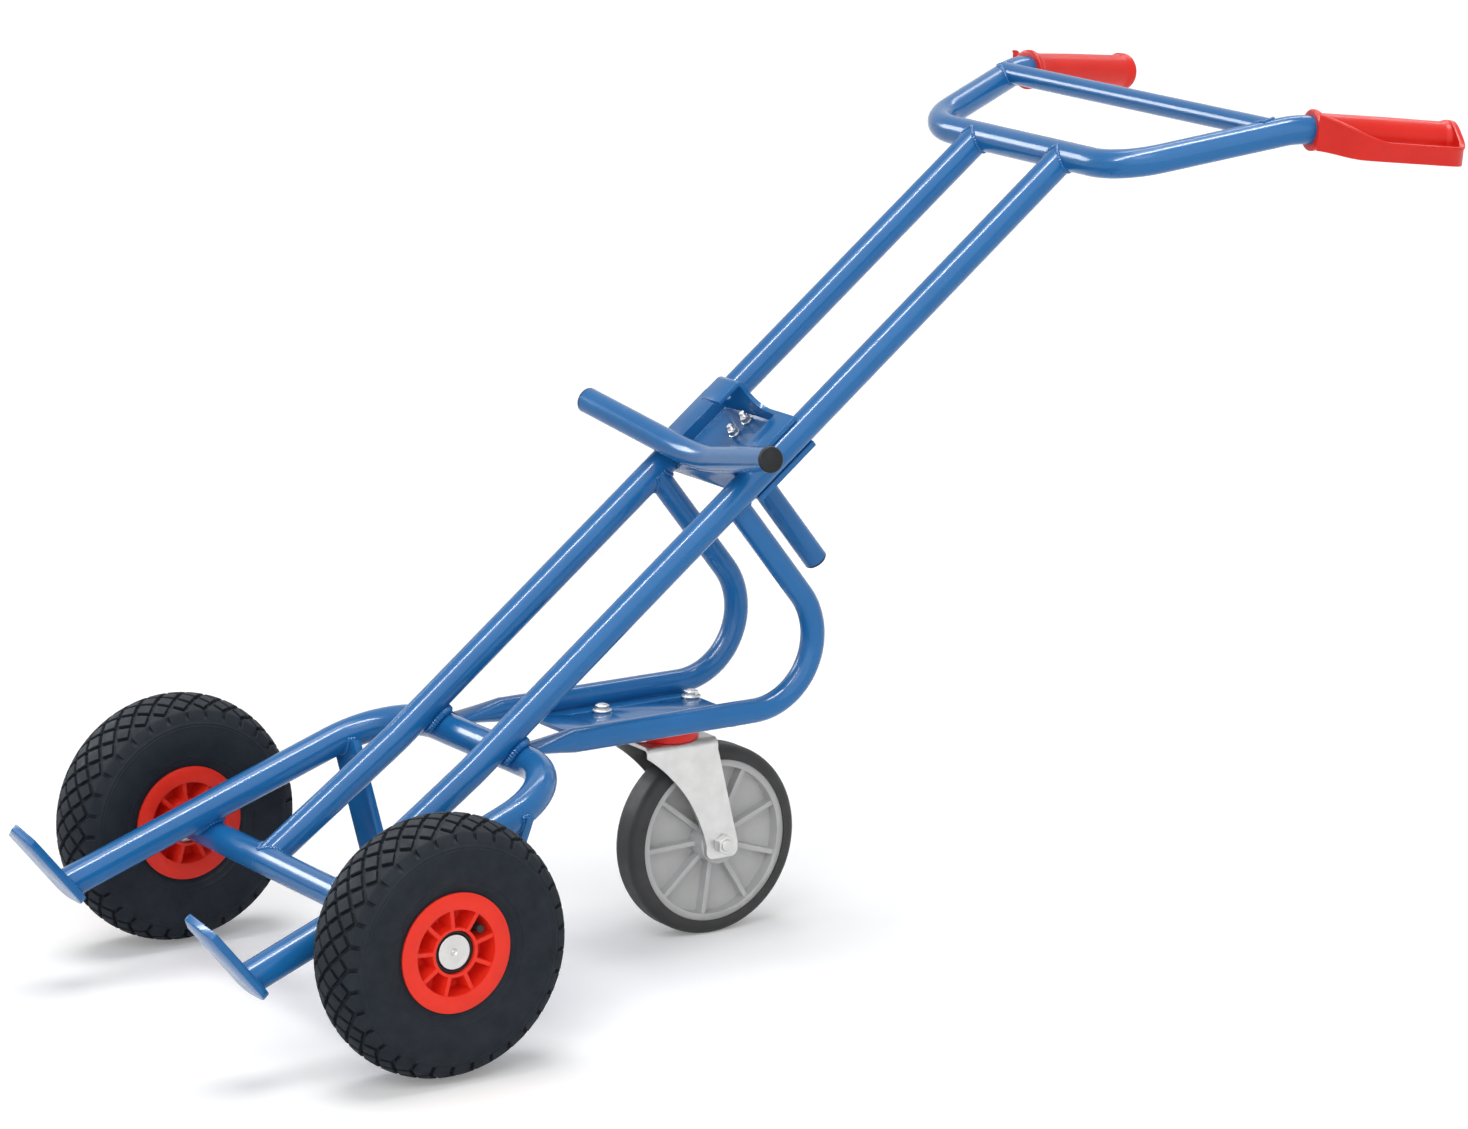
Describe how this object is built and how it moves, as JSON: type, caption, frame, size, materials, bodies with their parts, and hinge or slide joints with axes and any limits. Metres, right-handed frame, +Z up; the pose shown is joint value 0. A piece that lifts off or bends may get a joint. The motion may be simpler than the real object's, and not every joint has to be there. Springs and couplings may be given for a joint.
{
  "type": "drum trolley",
  "caption": "Tube-framed drum trolley with pneumatic wheels, a swivel castor, toe blades, a drum cradle, a sliding drum hook and a handle bow with guarded grips.",
  "frame": {"origin": "middle of the trolley's footprint, on the floor", "axes": "+X from the toe blades to the grips, +Y to the operator's right, +Z up"},
  "size_m": [1.4348, 0.6476, 0.8396],
  "materials": {
    "blue_paint": "glossy powder coat",
    "red_grip": "satin",
    "red_rim": "satin",
    "red_seal": "satin",
    "tyre_rubber": "matte",
    "tube_rubber": "matte",
    "black_plastic": "satin",
    "zinc": "zinc plated",
    "grey_plastic": "satin",
    "castor_rubber": "matte",
    "bush_plastic": "satin"
  },
  "bodies": {
    "frame": {"axle": "zinc", "axle_tube": "blue_paint", "axle_washers": "zinc", "castor_bolts": "zinc", "castor_kingpin": "zinc", "castor_mount_plate": "blue_paint", "castor_nuts": "zinc", "castor_top_plate": "zinc", "castor_washers": "zinc", "cradle_plate": "blue_paint", "drum_cradle": "blue_paint", "handle_bow": "blue_paint", "handle_crossbar": "blue_paint", "hub_rings": "black_plastic", "left_castor_stay": "blue_paint", "left_cradle_cap": "black_plastic", "left_grip": "red_grip", "left_hub_cap": "zinc", "left_rail": "blue_paint", "left_toe_blade": "blue_paint", "right_castor_stay": "blue_paint", "right_cradle_cap": "black_plastic", "right_grip": "red_grip", "right_hub_cap": "zinc", "right_rail": "blue_paint", "right_toe_blade": "blue_paint", "tilt_step": "blue_paint", "toe_hoop": "blue_paint"},
    "left_wheel": {"left_tyre": "tyre_rubber", "left_inner_tube": "tube_rubber", "left_rim": "red_rim", "left_bearings": "zinc", "left_valve": "tube_rubber"},
    "right_wheel": {"right_tyre": "tyre_rubber", "right_inner_tube": "tube_rubber", "right_rim": "red_rim", "right_bearings": "zinc", "right_valve": "tube_rubber"},
    "castor_fork": {"castor_fork": "zinc", "castor_seal_ring": "red_seal", "castor_axle_bolt": "zinc", "castor_axle_nut": "zinc"},
    "castor_wheel": {"castor_wheel_centre": "grey_plastic", "castor_tyre": "castor_rubber", "castor_bush": "bush_plastic"},
    "drum_hook": {"hook_block": "blue_paint", "hook_back_plate": "blue_paint", "hook_bolts": "zinc", "hook_spacers": "zinc", "hook_lever": "blue_paint", "hook_lever_cap": "black_plastic"}
  },
  "joints": [
    {"name": "left_wheel_spin", "type": "hinge", "parent": "frame", "child": "left_wheel", "pos_m": [-0.49015, -0.267, 0.13], "axis": [0, 1, 0], "continuous": true},
    {"name": "right_wheel_spin", "type": "hinge", "parent": "frame", "child": "right_wheel", "pos_m": [-0.49015, 0.267, 0.13], "axis": [0, 1, 0], "continuous": true},
    {"name": "castor_swivel", "type": "hinge", "parent": "frame", "child": "castor_fork", "pos_m": [-0.06515, 0, 0.2345], "axis": [0, 0, 1], "continuous": true},
    {"name": "castor_wheel_spin", "type": "hinge", "parent": "castor_fork", "child": "castor_wheel", "pos_m": [-0.01815, 0, 0.1], "axis": [0, 1, 0], "continuous": true},
    {"name": "hook_slide", "type": "slide", "parent": "frame", "child": "drum_hook", "axis": [0.7912, 0, 0.6115], "range_m": [0, 0.35]}
  ]
}
